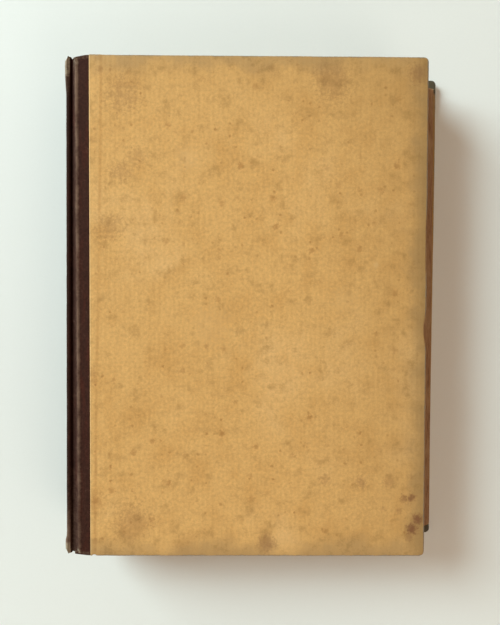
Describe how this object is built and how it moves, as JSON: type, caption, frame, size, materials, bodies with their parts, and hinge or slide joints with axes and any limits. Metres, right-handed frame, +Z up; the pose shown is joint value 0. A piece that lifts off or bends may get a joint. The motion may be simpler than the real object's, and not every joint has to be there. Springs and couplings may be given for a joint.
{
  "type": "hardback book",
  "caption": "Old half-cloth hardback book lying closed on its back cover: ribbed paper boards, dark cloth spine, leaning page block, both covers hinged.",
  "frame": {"origin": "middle of the book's underside, on the surface that it lies on", "axes": "+X from the spine to the fore-edge, +Y from tail to head, +Z up through the closed book"},
  "size_m": [0.1592, 0.2056, 0.0254],
  "materials": {
    "board": "matte",
    "cover_paper": "matte",
    "spine_cloth": "matte",
    "pages": "matte",
    "endpaper": "matte",
    "gauze": "matte",
    "liner": "matte",
    "stiffener": "matte",
    "band": "matte",
    "thread": "matte"
  },
  "bodies": {
    "back_cover": {"back_board": "board", "back_cover_paper": "cover_paper", "back_mull_flange": "gauze", "back_pastedown": "endpaper", "back_side_cloth": "spine_cloth"},
    "text_block": {"back_flyleaf": "endpaper", "front_flyleaf": "endpaper", "head_band": "band", "page_block": "pages", "sewing_row_1": "thread", "sewing_row_2": "thread", "sewing_row_3": "thread", "sewing_row_4": "thread", "sewing_row_5": "thread", "sewing_row_6": "thread", "spine_cloth": "spine_cloth", "spine_liner": "liner", "spine_mull": "gauze", "spine_stiffener": "stiffener", "tail_band": "band"},
    "front_cover": {"front_board": "board", "front_cover_paper": "cover_paper", "front_mull_flange": "gauze", "front_pastedown": "endpaper", "front_side_cloth": "spine_cloth"}
  },
  "joints": [
    {"name": "back_cover_hinge", "type": "hinge", "parent": "back_cover", "child": "text_block", "pos_m": [-0.067, 0, 0.00325], "axis": [0, -1, 0], "range_deg": [0, 130]},
    {"name": "front_cover_hinge", "type": "hinge", "parent": "text_block", "child": "front_cover", "pos_m": [-0.0779, 0, 0.02215], "axis": [0, -1, 0], "range_deg": [0, 180]}
  ]
}
